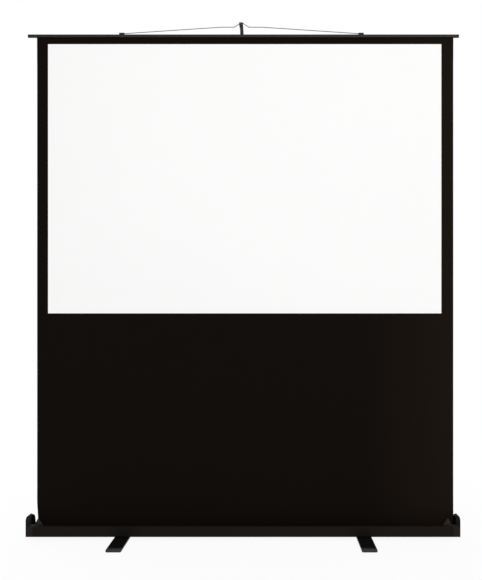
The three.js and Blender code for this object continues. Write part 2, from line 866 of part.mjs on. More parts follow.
// Feet: flat tubes with an end cap at each end, turning on a bolt in the middle
function footTube() {
  const half = footLength / 2 - footCapLength - playGap;
  const shape = rectangle(footWidth, footHeight, footCornerRadius);
  const innerWidth = footWidth - 2 * footWall;
  const innerHeight = footHeight - 2 * footWall;
  shape.holes.push(rectangle(innerWidth, innerHeight, footCornerRadius - footWall));
  const tube = prismY(shape, -half, half).translate(0, 0, footHeight / 2);
  const accessRadius = footBoltHeadRadius + footAccessGap;
  return cut(
    tube,
    rodZ(footBoltRadius + playGap, footHeight / 2, footHeight + cutOverrun, 0, 0),
    rodZ(accessRadius, -cutOverrun, footHeight / 2, 0, 0),
  );
}

// The end cap's outer edges are rounded over like the tube's corners, and its spigot fills the tube.
function footEndCap() {
  const end = footLength / 2;
  const rounding = footCornerRadius - footCapFaceRadius;
  const core = rectangle(footWidth - 2 * rounding, footHeight - 2 * rounding, footCapFaceRadius);
  const depth = footCapLength;
  const rounded = new THREE.ExtrudeGeometry(core, {
    depth,
    curveSegments: filletSteps,
    bevelSize: rounding,
    bevelThickness: rounding,
    bevelSegments: footCapRoundingSteps,
  });
  rounded.rotateX(Math.PI / 2).translate(0, footCapLength - rounding, 0);
  const inner = block([-footWidth, footWidth], [-rounding - footCapLength, 0], [-footHeight, footHeight]);
  const spigotCut = 2 * (footWall + playGap);
  const spigot = rectangle(footWidth - spigotCut, footHeight - spigotCut, footCornerRadius - footWall);
  const cap = join(cut(rounded, inner), prismY(spigot, -footCapSpigotLength, rounding));
  return cap.translate(0, end - footCapLength, footHeight / 2);
}

function footPad() {
  const outer = footLength / 2 - padInset;
  const shape = rectangle(padWidth, padLength, padThickness);
  return prismZ(shape, -padThickness, 0).translate(0, outer - padLength / 2, 0);
}

function footBolt() {
  const from = footHeight - footWall - playGap;
  const to = footHeight + playGap + washerThickness + caseWall + playGap;
  return headedPin(rodZ, footBoltRadius, footBoltHeadRadius, footBoltHeadThickness, from, to);
}

function footWasher() {
  const base = footHeight + playGap;
  const span = [base - cutOverrun, base + washerThickness + cutOverrun];
  return cut(
    rodZ(washerRadius, base, base + washerThickness, 0, 0),
    rodZ(footBoltRadius + playGap, ...span, 0, 0),
  );
}

// The left half of the screen mirrors the right half.
function sideGroup(parent, side) {
  const made = group(parent);
  if (side === "left") made.scale.x = -1;
  return made;
}

function addCase() {
  const body = group(screen, 0, 0, caseBaseZ);
  place(body, "case_body", caseBody(), blackAnodised);
  for (const side of ["left", "right"]) {
    const half = sideGroup(body, side);
    place(half, `${side}_end_cap`, endCap(), blackPlastic);
    place(half, `${side}_cap_screw`, tongueScrew(), blackSteel);
    place(half, `${side}_roller_bracket`, rollerBracket(), brightSteel);
  }
}

function addRoller() {
  const roller = group(screen, 0, 0, sheetBaseZ);
  const [left, right] = ["left", "right"].map((side) => sideGroup(roller, side));
  place(roller, "roller_tube", rollerTube(), brightSteel);
  place(left, "roller_spring_plug", springPlug(), blackPlastic);
  place(right, "roller_idler_plug", idlerPlug(), blackPlastic);
  place(left, "spring_mandrel", springMandrel(), brightSteel);
  place(left, "roller_spring", rollerSpring(), brightSteel);
  place(roller, "fabric_roll", fabricRoll(), blackFabric);
}

function addScreen() {
  place(screen, "screen_sheet", screenSheet(), blackFabric);
  place(screen, "viewing_area", viewingArea(), whiteFabric);
  const bar = group(screen, 0, sheetMiddleY, barBaseZ);
  place(bar, "top_bar", topBar(), blackAnodised);
  const clips = group(screen, mastSideShift, sheetMiddleY, barTopZ);
  const bail = group(clips, 0, 0, clipAxisRise);
  bail.rotation.x = -bailLean;
  for (const side of ["left", "right"]) {
    place(sideGroup(bar, side), `${side}_bar_cap`, barEndCap(), blackPlastic);
    place(sideGroup(clips, side), `${side}_wire_clip`, wireClip(), blackPlastic);
    place(sideGroup(bail, side), `${side}_bail_wire`, bailWire(), brightSteel);
  }
}

function addClamp(parent, stage, tubeWidth, nextWidth, rise) {
  const collar = group(parent, 0, 0, rise);
  place(collar, `${stage}_clamp_collar`, clampCollar(tubeWidth, nextWidth), blackPlastic);
  const axisY = tubeWidth / 2 + playGap + collarWall + leverAxisY;
  const axis = group(collar, 0, axisY, leverAxisZ);
  place(axis, `${stage}_clamp_pin`, clampPin(), brightSteel);
  place(axis, `${stage}_clamp_lever`, clampLever(), blackPlastic);
}

function addMast() {
  const mast = group(screen, mastSideShift, mastY, mastPivotZ);
  place(mast, "mast_bracket", mastBracket(), blackPaint);
  place(mast, "mast_pivot_pin", pivotPin(), brightSteel);
  place(mast, "mast_outer_tube", outerTube(), blackAnodised);
  place(mast, "mast_base_plug", basePlug(), blackPlastic);
  addClamp(mast, "lower", outerTubeWidth, middleTubeWidth, outerTopRise);

  const middle = group(mast, 0, 0, outerTopRise - stageOverlap);
  const middleTube = squareTube(middleTubeWidth, mastTubeWall, 0, stageLength);
  place(middle, "mast_middle_tube", middleTube, blackAnodised);
  place(middle, "middle_guide_bush", guideBush(outerTubeWidth, middleTubeWidth), blackPlastic);
  addClamp(middle, "upper", middleTubeWidth, innerTubeWidth, stageLength);

  const inner = group(mast, 0, 0, middleTopRise - stageOverlap);
  const innerTube = squareTube(innerTubeWidth, mastTubeWall, 0, stageLength);
  place(inner, "mast_inner_tube", innerTube, blackAnodised);
  place(inner, "inner_guide_bush", guideBush(middleTubeWidth, innerTubeWidth), blackPlastic);
  place(group(inner, 0, 0, stageLength), "mast_head", mastHead(), blackPlastic);

  const wall = group(screen, 0, 0, caseBaseZ);
  place(wall, "mast_stow_clip", stowClip(), blackPlastic);
  mastBoltPlaces.forEach((x, i) => {
    place(group(wall, x, 0, mastBoltRise), `mast_bracket_bolt_${i + 1}`, wallBolt(), brightSteel);
  });
  place(group(wall, stowBoltPlace, 0, stowBoltRise), "stow_clip_bolt", wallBolt(), brightSteel);
}

function addFoot(side) {
  const x = (side === "left" ? -footSpacing : footSpacing) / 2;
  const foot = group(screen, x, 0, padThickness);
  place(foot, `${side}_foot`, footTube(), blackPaint);
  place(foot, `${side}_foot_bolt`, footBolt(), brightSteel);
  place(foot, `${side}_foot_washer`, footWasher(), blackPlastic);
  for (const end of ["front", "rear"]) {
    const turned = group(foot);
    if (end === "front") turned.rotation.z = Math.PI;
    place(turned, `${side}_foot_${end}_cap`, footEndCap(), blackPlastic);
    place(turned, `${side}_foot_${end}_pad`, footPad(), rubber);
  }
}

addCase();
addRoller();
addScreen();
addMast();
addFoot("left");
addFoot("right");

export default screen;
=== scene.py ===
import json
import math

import bmesh
import bpy
from mathutils import Matrix, Vector


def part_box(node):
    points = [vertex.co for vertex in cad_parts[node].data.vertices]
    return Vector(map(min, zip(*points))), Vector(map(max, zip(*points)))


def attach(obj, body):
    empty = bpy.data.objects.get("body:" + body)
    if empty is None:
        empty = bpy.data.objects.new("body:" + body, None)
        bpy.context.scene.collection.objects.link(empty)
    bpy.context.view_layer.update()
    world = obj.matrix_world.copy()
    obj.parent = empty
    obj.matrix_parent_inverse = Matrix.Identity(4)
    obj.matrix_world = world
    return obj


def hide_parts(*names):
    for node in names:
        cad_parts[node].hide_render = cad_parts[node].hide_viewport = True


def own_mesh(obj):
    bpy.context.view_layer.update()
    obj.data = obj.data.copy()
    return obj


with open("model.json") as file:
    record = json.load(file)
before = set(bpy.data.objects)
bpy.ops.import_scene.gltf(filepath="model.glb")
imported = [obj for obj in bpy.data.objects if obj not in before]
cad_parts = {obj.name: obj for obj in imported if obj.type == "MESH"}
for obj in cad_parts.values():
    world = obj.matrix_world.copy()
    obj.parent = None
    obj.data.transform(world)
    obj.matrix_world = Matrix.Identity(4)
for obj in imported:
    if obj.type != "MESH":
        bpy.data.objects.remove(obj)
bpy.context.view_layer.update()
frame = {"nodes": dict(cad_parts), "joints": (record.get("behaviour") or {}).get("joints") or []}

# Camera: level, facing the screen squarely from a little to the right of its middle
CAMERA_PLACE = (0.108, -3.386, 0.884)
CAMERA_LENS = 51.87
CAMERA_SENSOR = 36.0
CAMERA_SHIFT = (-0.05, 0.0517)

# Light
WORLD_LEVEL = 0.84
KEY_PLACE = (0.9, -3.8, 2.3)
KEY_SIZE = 2.6
KEY_POWER = 38.0
RIM_PLACE = (-2.4, 2.6, 2.6)
RIM_SIZE = 2.0
RIM_POWER = 40.0
AIM_HEIGHT = 1.0
FLOOR_SIZE = 40.0
FLOOR_WHITE = 0.9
FLOOR_NEAR_GLOW_SHARE = 0.92
FLOOR_GLOW_RADII = (1.0, 2.2)  # the glow grows from its near share to all between these

# Fine shape, in metres
PLAY = 0.0003
EDGE = 0.0004
SMALL_EDGE = 0.00025
EDGE_SEGMENTS = 2
SHARP_ANGLE = math.radians(32)
FLAT_ANGLE = math.radians(1)
WELD = 0.000002
ARC_STEPS = 8
ROUND_SIDES = 40
WIRE_SIDES = 16


# Small helpers

def linear(red, green, blue):
    """The linear colour of an 8-bit one."""
    def one(value):
        share = value / 255
        return share / 12.92 if share <= 0.04045 else ((share + 0.055) / 1.055) ** 2.4
    return (one(red), one(green), one(blue), 1.0)


def clamped(share):
    return min(max(share, 0.0), 1.0)


def smooth(share):
    share = clamped(share)
    return share * share * (3 - 2 * share)


def joint(name):
    return next(entry for entry in frame["joints"] if entry["name"] == name)


# Outlines, as lists of (u, v)

def outline(corners, steps=ARC_STEPS):
    """A closed outline through (u, v, radius) corners, with a round arc where a corner has a radius."""
    points = []
    for i, (u, v, radius) in enumerate(corners):
        if radius == 0:
            points.append((u, v))
            continue
        corner = Vector((u, v))
        back = (Vector(corners[i - 1][:2]) - corner).normalized()
        ahead = (Vector(corners[(i + 1) % len(corners)][:2]) - corner).normalized()
        half = math.acos(max(-1.0, min(1.0, back.dot(ahead)))) / 2
        centre = corner + (back + ahead).normalized() * (radius / math.sin(half))
        start = corner + back * (radius / math.tan(half)) - centre
        end = corner + ahead * (radius / math.tan(half)) - centre
        turn = math.atan2(start.x * end.y - start.y * end.x, start.dot(end))
        for step in range(steps + 1):
            angle = turn * step / steps
            x = start.x * math.cos(angle) - start.y * math.sin(angle)
            y = start.x * math.sin(angle) + start.y * math.cos(angle)
            points.append((centre.x + x, centre.y + y))
    return points


def rectangle(u0, u1, v0, v1, radius=0.0):
    return outline([(u0, v0, radius), (u1, v0, radius), (u1, v1, radius), (u0, v1, radius)])


def circle(u, v, radius):
    turns = [2 * math.pi * i / ROUND_SIDES for i in range(ROUND_SIDES)]
    return [(u + radius * math.cos(a), v + radius * math.sin(a)) for a in turns]


def hexagon(u, v, radius):
    """A hexagon with as many points as a circle has, so that the two can be bridged."""
    points = []
    for i in range(ROUND_SIDES):
        angle = 2 * math.pi * i / ROUND_SIDES
        wedge = angle % (math.pi / 3) - math.pi / 6
        reach = radius * math.cos(math.pi / 6) / math.cos(wedge)
        points.append((u + reach * math.cos(angle), v + reach * math.sin(angle)))
    return points


def rounded_path(points, radii, steps=ARC_STEPS):
    """A path through points in space whose inner corners are bent round at the given radii."""
    path = [points[0]]
    for before, corner, after, radius in zip(points, points[1:], points[2:], radii):
        back, ahead = (before - corner).normalized(), (after - corner).normalized()
        half = back.angle(ahead) / 2
        reach = radius / math.tan(half)
        centre = corner + (back + ahead).normalized() * (radius / math.sin(half))
        start, end = corner + back * reach - centre, corner + ahead * reach - centre
        turn = start.angle(end)
        for step in range(steps + 1):
            share = step / steps
            a, b = math.sin((1 - share) * turn), math.sin(share * turn)
            path.append(centre + (start * a + end * b) / math.sin(turn))
    path.append(points[-1])
    return path


# Solids, added to a bmesh

PLACES = {
    "X": lambda u, v, w: (w, u, v),
    "Y": lambda u, v, w: (u, w, v),
    "Z": lambda u, v, w: (u, v, w),
}


def ring(mesh, axis, points, w):
    return [mesh.verts.new(PLACES[axis](u, v, w)) for u, v in points]


def bridge(mesh, first, second):
    count = len(first)
    for i in range(count):
        j = (i + 1) % count
        mesh.faces.new((first[i], first[j], second[j], second[i]))


def enclose(mesh, rings):
    """A closed solid through rings that have the same number of points."""
    for first, second in zip(rings, rings[1:]):
        bridge(mesh, first, second)
    mesh.faces.new(rings[0])
    mesh.faces.new(rings[-1])


def prism(mesh, axis, points, start, end):
    """An outline drawn out along an axis."""
    enclose(mesh, [ring(mesh, axis, points, w) for w in (start, end)])


def tube(mesh, axis, outer, inner, start, end):
    """A prism with a bore: both outlines have the same number of points."""
    outside = [ring(mesh, axis, outer, w) for w in (start, end)]
    inside = [ring(mesh, axis, inner, w) for w in (start, end)]
    bridge(mesh, *outside)
    bridge(mesh, *inside)
    bridge(mesh, outside[0], inside[0])
    bridge(mesh, outside[1], inside[1])


def lathe(mesh, axis, u, v, profile):
    """A closed turned solid: profile lists (w, radius) from one end to the other."""
    enclose(mesh, [ring(mesh, axis, circle(u, v, radius), w) for w, radius in profile])


def sweep(mesh, path, radius):
    """A round wire along a path of points, with flat ends."""
    turns = [2 * math.pi * k / WIRE_SIDES for k in range(WIRE_SIDES)]
    rings = []
    side = Vector((0, 1, 0))
    for i, point in enumerate(path):
        along = (path[min(i + 1, len(path) - 1)] - path[max(i - 1, 0)]).normalized()
        side = (side - along * side.dot(along)).normalized()
        up = along.cross(side)
        places = [point + (side * math.cos(a) + up * math.sin(a)) * radius for a in turns]
        rings.append([mesh.verts.new(place) for place in places])
    enclose(mesh, rings)


# Pieces

def piece(name, build, body, material, nodes=(), edge=EDGE, mirror=False):
    """A new piece: build fills a bmesh, and the piece rides on a body and stands for CAD nodes."""
    mesh = bmesh.new()
    build(mesh)
    if mirror:
        mesh.transform(Matrix.Scale(-1, 4, (1, 0, 0)))
    bmesh.ops.recalc_face_normals(mesh, faces=mesh.faces)
    return dress(mesh, name, body, material, nodes, edge)


def softened(node, body, material, edge=EDGE):
    """A copy of a CAD node with its edges rounded over."""
    mesh = bmesh.new()
    mesh.from_mesh(frame["nodes"][node].data)
    bmesh.ops.remove_doubles(mesh, verts=mesh.verts, dist=WELD)
    bmesh.ops.dissolve_limit(mesh, angle_limit=FLAT_ANGLE, verts=mesh.verts, edges=mesh.edges)
    return dress(mesh, node + "_soft", body, material, [node], edge)


def dress(mesh, name, body, material, nodes, edge):
    """Turns a bmesh into a piece with its material, rounded edges, CAD nodes and body."""
    data = bpy.data.meshes.new(name)
    mesh.to_mesh(data)
    mesh.free()
    made = bpy.data.objects.new(name, data)
    bpy.context.scene.collection.objects.link(made)
    data.materials.append(material)
    for face in data.polygons:
        face.use_smooth = True
    if edge > 0:
        bevel = made.modifiers.new("edges", "BEVEL")
        bevel.width = edge
        bevel.segments = EDGE_SEGMENTS
        bevel.limit_method = "ANGLE"
        bevel.angle_limit = SHARP_ANGLE
        bevel.harden_normals = True
        normals = made.modifiers.new("normals", "WEIGHTED_NORMAL")
        normals.keep_sharp = True
    else:
        data.set_sharp_from_angle(angle=SHARP_ANGLE)
    if nodes:
        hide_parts(*nodes)
    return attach(made, body)


# Material nodes

NOISE_RANGE = (0.3, 0.7)  # where most of a noise texture's values lie
WHOLE_RANGE = (0.0, 1.0)
WEAR_BEND_RANGE = (0.515, 0.58)  # pointiness, from a nearly flat place to a sharp edge
WEAR_PATCH_RANGE = (0.42, 0.62)
WEAR_PATCH_SCALE = 220.0
WAVE_RATE = 20  # radians that a wave texture turns in one unit at scale 1
MIX_COLOR_INPUTS = (6, 7)
MIX_COLOR_OUTPUT = 2


def start_material(name, roughness, metallic, specular):
    material = bpy.data.materials.new(name)
    material.use_nodes = True
    shader = material.node_tree.nodes["Principled BSDF"]
    shader.inputs["Roughness"].default_value = roughness
    shader.inputs["Metallic"].default_value = metallic
    shader.inputs["Specular IOR Level"].default_value = specular
    return material, material.node_tree, shader


def place_texture(tree, stretch=(1, 1, 1)):
    """Object coordinates in metres, stretched along the axes."""
    place = tree.nodes.new("ShaderNodeTexCoord")
    mapping = tree.nodes.new("ShaderNodeMapping")
    mapping.inputs["Scale"].default_value = stretch
    tree.links.new(place.outputs["Object"], mapping.inputs["Vector"])
    return mapping.outputs["Vector"]


def noise(tree, scale, detail, rough=0.55, stretch=(1, 1, 1)):
    texture = tree.nodes.new("ShaderNodeTexNoise")
    texture.inputs["Scale"].default_value = scale
    texture.inputs["Detail"].default_value = detail
    texture.inputs["Roughness"].default_value = rough
    tree.links.new(place_texture(tree, stretch), texture.inputs["Vector"])
    return texture.outputs["Fac"]


def ranged(tree, value, low, high, source=NOISE_RANGE):
    """Maps the source range of a value to low and high."""
    node = tree.nodes.new("ShaderNodeMapRange")
    node.inputs["From Min"].default_value = source[0]
    node.inputs["From Max"].default_value = source[1]
    node.inputs["To Min"].default_value = low
    node.inputs["To Max"].default_value = high
    tree.links.new(value, node.inputs["Value"])
    return node.outputs["Result"]


def combined(tree, operation, first, second):
    node = tree.nodes.new("ShaderNodeMath")
    node.operation = operation
    tree.links.new(first, node.inputs[0])
    tree.links.new(second, node.inputs[1])
    return node.outputs[0]


def mixed(tree, factor, first, second):
    """A colour between two: each is a colour or the socket of one."""
    node = tree.nodes.new("ShaderNodeMix")
    node.data_type = "RGBA"
    tree.links.new(factor, node.inputs["Factor"])
    for index, value in zip(MIX_COLOR_INPUTS, (first, second)):
        if isinstance(value, tuple):
            node.inputs[index].default_value = value
        else:
            tree.links.new(value, node.inputs[index])
    return node.outputs[MIX_COLOR_OUTPUT]


def shade(color, factor):
    return tuple(min(channel * factor, 1.0) for channel in color[:3]) + (1.0,)


def clouded(tree, clouds, color, darker, lighter):
    """A colour that wanders between two shades of itself."""
    return mixed(tree, ranged(tree, clouds, 0.0, 1.0), shade(color, darker), shade(color, lighter))


def relief(tree, shader, height, depth, strength, under=None):
    bump = tree.nodes.new("ShaderNodeBump")
    bump.inputs["Strength"].default_value = strength
    bump.inputs["Distance"].default_value = depth
    tree.links.new(height, bump.inputs["Height"])
    if under is not None:
        tree.links.new(under, bump.inputs["Normal"])
    tree.links.new(bump.outputs["Normal"], shader.inputs["Normal"])
    return bump.outputs["Normal"]


def edge_wear(tree, base, worn, amount=0.5):
    """Lightens the base colour where the surface bends sharply outward, broken up by noise."""
    bend = tree.nodes.new("ShaderNodeNewGeometry").outputs["Pointiness"]
    edges = ranged(tree, bend, 0.0, amount, WEAR_BEND_RANGE)
    specks = noise(tree, scale=WEAR_PATCH_SCALE, detail=3.0)
    patches = ranged(tree, specks, 0.0, 1.0, WEAR_PATCH_RANGE)
    return mixed(tree, combined(tree, "MULTIPLY", edges, patches), base, worn)


def weave(tree, pitch):
    """Threads crossing at a pitch: the height of a plain weave in X and Z."""
    place = place_texture(tree)
    bands = []
    for direction in ("X", "Z"):
        wave = tree.nodes.new("ShaderNodeTexWave")
        wave.wave_type = "BANDS"
        wave.bands_direction = direction
        wave.wave_profile = "SIN"
        wave.inputs["Scale"].default_value = 2 * math.pi / (WAVE_RATE * pitch)
        wave.inputs["Distortion"].default_value = 0.6
        wave.inputs["Detail"].default_value = 1.0
        tree.links.new(place, wave.inputs["Vector"])
        bands.append(wave.outputs["Fac"])
    return combined(tree, "MULTIPLY", *bands)


def painted_light_along_x(tree, base, lighter, x_range):
    """Painted light: lets a tone grow lighter along X over a range, a painted sheen on the lit side."""
    split = tree.nodes.new("ShaderNodeSeparateXYZ")
    tree.links.new(place_texture(tree), split.inputs["Vector"])
    return mixed(tree, ranged(tree, split.outputs["X"], 0.0, 1.0, x_range), base, lighter)


# Kinds of material: noise scales are per metre, depths in metres, shades as shares of the colour

DIE_LINE_STRETCH = 0.012
DRAWN_LINES = (0.03, 1.0, 1.0)
THREAD_SHADE_SHARE = 1.5
# where the painted light on the black cloth grows, along X in metres
SHEET_PAINTED_LIGHT_RANGE = (0.5, 0.86)


def anodised(name, color, roughness, specular, along=(1, 0, 0)):
    """Satin anodised extrusion: die lines along its length, cloudy tone and slightly rubbed edges."""
    material, tree, shader = start_material(name, roughness, 0.0, specular)
    stretch = tuple(DIE_LINE_STRETCH if axis else 1.0 for axis in along)
    lines = noise(tree, scale=1500.0, detail=4.0, stretch=stretch)
    clouds = noise(tree, scale=5.0, detail=5.0)
    tone = clouded(tree, clouds, color, darker=0.9, lighter=1.1)
    lined = mixed(tree, ranged(tree, lines, 0.0, 1.0), shade(color, 0.93), tone)
    tree.links.new(edge_wear(tree, lined, shade(color, 2.2)), shader.inputs["Base Color"])
    gloss = ranged(tree, lines, low=roughness * 0.88, high=roughness * 1.14)
    tree.links.new(gloss, shader.inputs["Roughness"])
    relief(tree, shader, lines, depth=0.000012, strength=0.6)
    return material


def moulded(name, color, roughness, specular, grain=1900.0, depth=0.00005):
    """Moulded plastic with a fine spark-eroded grain, sink clouds and slightly polished edges."""
    material, tree, shader = start_material(name, roughness, 0.0, specular)
    grains = noise(tree, scale=grain, detail=2.0, rough=0.6)
    clouds = noise(tree, scale=30.0, detail=3.0)
    tone = clouded(tree, clouds, color, darker=0.9, lighter=1.12)
    tree.links.new(edge_wear(tree, tone, shade(color, 1.7)), shader.inputs["Base Color"])
    gloss = ranged(tree, clouds, low=roughness * 0.9, high=roughness * 1.1)
    tree.links.new(gloss, shader.inputs["Roughness"])
    relief(tree, shader, grains, depth, strength=0.5)
    return material


def powder_coat(name, color, roughness, specular):
    """Powder coat: a soft orange peel over a fine speckle, with rubbed edges."""
    material, tree, shader = start_material(name, roughness, 0.0, specular)
    peel = noise(tree, scale=620.0, detail=2.0, rough=0.4)
    speckle = noise(tree, scale=3600.0, detail=1.0)
    clouds = noise(tree, scale=14.0, detail=4.0)
    tone = clouded(tree, clouds, color, darker=0.88, lighter=1.14)
    worn = edge_wear(tree, tone, shade(color, 3.0), amount=0.6)
    tree.links.new(worn, shader.inputs["Base Color"])
    gloss = ranged(tree, speckle, low=roughness * 0.85, high=roughness * 1.2)
    tree.links.new(gloss, shader.inputs["Roughness"])
    under = relief(tree, shader, peel, depth=0.00006, strength=0.5)
    relief(tree, shader, speckle, depth=0.00001, strength=0.4, under=under)
    return material


def cloth(name, color, roughness, specular, pitch, depth, spread, right=1.0):
    """Coated cloth: a weave that shows through its coat, a slow mottle and painted light that makes its
    right side lighter.
    """
    material, tree, shader = start_material(name, roughness, 0.0, specular)
    threads = weave(tree, pitch)
    clouds = noise(tree, scale=3.2, detail=5.0)
    fine = noise(tree, scale=700.0, detail=2.0)
    tone = clouded(tree, clouds, color, darker=1 - spread, lighter=1 + spread)
    between = shade(color, 1 - THREAD_SHADE_SHARE * spread)
    woven = mixed(tree, ranged(tree, threads, 0.0, 1.0, WHOLE_RANGE), between, tone)
    # painted light: the cloth grows lighter toward its right side, as if lit from there
    if right != 1.0:
        woven = painted_light_along_x(tree, woven, shade(color, right), SHEET_PAINTED_LIGHT_RANGE)
    tree.links.new(woven, shader.inputs["Base Color"])
    gloss = ranged(tree, fine, low=roughness * 0.94, high=roughness * 1.05)
    tree.links.new(gloss, shader.inputs["Roughness"])
    under = relief(tree, shader, threads, depth, strength=0.6)
    relief(tree, shader, fine, depth / 3, strength=0.4, under=under)
    return material


def plated(name, color, low_rough, high_rough, stretch=(1, 1, 1)):
    """Plated or drawn steel: fine scratches, stretched where it was drawn, and a cloudy bloom."""
    material, tree, shader = start_material(name, low_rough, 1.0, 0.5)
    lines = noise(tree, scale=2600.0, detail=3.0, stretch=stretch)
    bloom = noise(tree, scale=85.0, detail=4.0)
    tone = clouded(tree, bloom, color, darker=0.84, lighter=1.06)
    tree.links.new(tone, shader.inputs["Base Color"])
    gloss = ranged(tree, bloom, low_rough, high_rough)
    tree.links.new(gloss, shader.inputs["Roughness"])
    relief(tree, shader, lines, depth=0.000008, strength=0.5)
    return material


# Materials

FINE_GRAIN = {"grain": 2400.0, "depth": 0.00003}
RUBBER_GRAIN = {"grain": 900.0, "depth": 0.00008}

case_black = anodised("case_anodised", linear(19, 14, 9), roughness=0.42, specular=0.07)
bar_black = anodised("bar_anodised", linear(34, 33, 30), roughness=0.36, specular=0.14)
mast_black = anodised("mast_anodised", linear(34, 33, 32), roughness=0.38, specular=0.16, along=(0, 0, 1))
cap_black = moulded("cap_plastic_moulded", linear(34, 27, 22), roughness=0.42, specular=0.06)
# painted shade: the cap plastic again, made darker on the plate and rim to stand in for the shade on the
# cap's top
plate_shaded_black = moulded("plate_plastic_moulded", linear(19, 15, 13), roughness=0.5, specular=0.02)
# painted light: the cap plastic made a little lighter on the tongue, a mid tone between its lit and its
# shaded look
tongue_lit_black = moulded("tongue_plastic_moulded", linear(36, 32, 29), roughness=0.42, specular=0.12)
small_black = moulded("small_plastic_moulded", linear(28, 27, 26), roughness=0.48, specular=0.14,
                      **FINE_GRAIN)
head_black = moulded("head_plastic_moulded", linear(54, 49, 50), roughness=0.48, specular=0.14,
                     **FINE_GRAIN)
foot_grey = moulded("foot_plastic_moulded", linear(50, 47, 47), roughness=0.5, specular=0.16)
rubber_black = moulded("pad_rubber_moulded", linear(30, 30, 30), roughness=0.8, specular=0.12,
                       **RUBBER_GRAIN)
foot_black = powder_coat("foot_powder_coat", linear(14, 10, 10), roughness=0.5, specular=0.05)
bracket_black = powder_coat("bracket_powder_coat", linear(26, 25, 25), roughness=0.5, specular=0.14)
zinc = plated("zinc_plate", (0.6, 0.6, 0.58, 1.0), low_rough=0.26, high_rough=0.4)
screw_dark = plated("black_screw_finish", (0.012, 0.011, 0.01, 1.0), low_rough=0.3, high_rough=0.45)
wire_grey = plated("drawn_wire", (0.13, 0.13, 0.13, 1.0), low_rough=0.28, high_rough=0.38,
                   stretch=DRAWN_LINES)
# right=1.9 paints light into the black cloth, making it lighter toward its right side
sheet_black = cloth("sheet_cloth_black", linear(16, 11, 7), roughness=0.82, specular=0.04,
                    pitch=0.0007, depth=0.00004, spread=0.06, right=1.9)
sheet_white = cloth("sheet_coat_white", (0.93, 0.93, 0.925, 1.0), roughness=0.8, specular=0.12,
                    pitch=0.0005, depth=0.000012, spread=0.006)


# Case

CASE_WALL = 0.002
CASE_LIP_WIDTH = 0.020
CASE_REAR_HEIGHT = 0.0325
CASE_BASE_RADIUS = 0.004
CASE_LIP_RADIUS = 0.002
CASE_INNER_RADIUS = 0.0012

case_low, case_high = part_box("case_body")


def trough():
    front, rear, base, top = case_low.y, case_high.y, case_low.z, case_high.z
    rear_top = base + CASE_REAR_HEIGHT
    return outline([
        (front, base, CASE_BASE_RADIUS),
        (rear, base, CASE_BASE_RADIUS),
        (rear, rear_top, CASE_WALL / 3),
        (rear - CASE_WALL, rear_top, CASE_WALL / 3),
        (rear - CASE_WALL, base + CASE_WALL, CASE_INNER_RADIUS),
        (front + CASE_WALL, base + CASE_WALL, CASE_INNER_RADIUS),
        (front + CASE_WALL, top - CASE_WALL, CASE_INNER_RADIUS),
        (front + CASE_LIP_WIDTH, top - CASE_WALL, CASE_WALL / 3),
        (front + CASE_LIP_WIDTH, top, CASE_WALL / 3),
        (front, top, CASE_LIP_RADIUS),
    ])


def build_case(mesh):
    prism(mesh, "X", trough(), case_low.x, case_high.x)


# End cap, on the right: the left one mirrors it

CAP_PLATE_THICKNESS = 0.003
CAP_SHOULDER_RADIUS = 0.018
CAP_SHOULDER_STEPS = 3 * ARC_STEPS
CAP_RIM_WIDTH = 0.013
CAP_RIM_FOOT_WIDTH = 0.017
CAP_RIM_FRONT_WIDTH = 0.005
CAP_RIM_THICKNESS = 0.0025
CAP_RIM_DROP = 0.004
CAP_RIM_STEPS = 2 * ARC_STEPS
CAP_SPIGOT_LENGTH = 0.014
CAP_SPIGOT_THICKNESS = 0.002
TONGUE_LENGTH = 0.036
TONGUE_WIDTH = 0.014
TONGUE_TIP_WIDTH = 0.008
TONGUE_THICKNESS = 0.0025
FIN_LENGTH = 0.033
FIN_HEIGHT = 0.028
FIN_PEAK_INSET = 0.018
FIN_PEAK_RADIUS = 0.002
FIN_THICKNESS = 0.0025
MOULDED_EDGE = 0.0007

cap_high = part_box("right_end_cap")[1]


def plate_outline():
    front, rear, base, top = case_low.y, case_high.y, case_low.z, cap_high.z
    return outline([
        (front, base, CASE_BASE_RADIUS),
        (rear, base, CASE_BASE_RADIUS),
        (rear, top, CAP_SHOULDER_RADIUS),
        (front, top, CAP_SHOULDER_RADIUS),
    ], CAP_SHOULDER_STEPS)


def rim_line(inset):
    """The rim's course round the plate, from the rear wall over the top and down to the lip."""
    front, rear, top = case_low.y + inset, case_high.y - inset, cap_high.z - inset
    rear_foot, front_foot = case_low.z + CASE_REAR_HEIGHT - PLAY, case_high.z - CASE_WALL
    corners = [(rear, rear_foot), (rear, top), (front, top), (front, front_foot)]
    points = [Vector((0, y, z)) for y, z in corners]
    return rounded_path(points, [CAP_SHOULDER_RADIUS - inset] * 2, CAP_RIM_STEPS)


def rim_width(point):
    """Narrow on the front half, wide over the rear half of the top and wider down the rear."""
    if point.y <= 0:
        return CAP_RIM_FRONT_WIDTH
    run = cap_high.z - case_low.z - CASE_REAR_HEIGHT
    below = smooth((cap_high.z - point.z) / run)
    return CAP_RIM_WIDTH + (CAP_RIM_FOOT_WIDTH - CAP_RIM_WIDTH) * below


def rim_drop(point, width):
    """How far the rim's inner edge sinks below its outer one: only over the top, more where it is wide."""
    above = smooth((point.z - cap_high.z + CAP_SHOULDER_RADIUS) / CAP_SHOULDER_RADIUS)
    return CAP_RIM_DROP * above * width / CAP_RIM_WIDTH


def build_rim(mesh):
    outer = cap_high.x - CAP_PLATE_THICKNESS / 2
    rings = []
    for outside, inside in zip(rim_line(0.0), rim_line(CAP_RIM_THICKNESS)):
        width = rim_width(outside)
        inner = cap_high.x - width
        drop = rim_drop(outside, width)
        corners = [
            (outer, outside, 0.0),
            (inner, outside, drop),
            (inner, inside, drop),
            (outer, inside, 0.0),
        ]
        rings.append([mesh.verts.new((x, point.y, point.z - fall)) for x, point, fall in corners])
    enclose(mesh, rings)


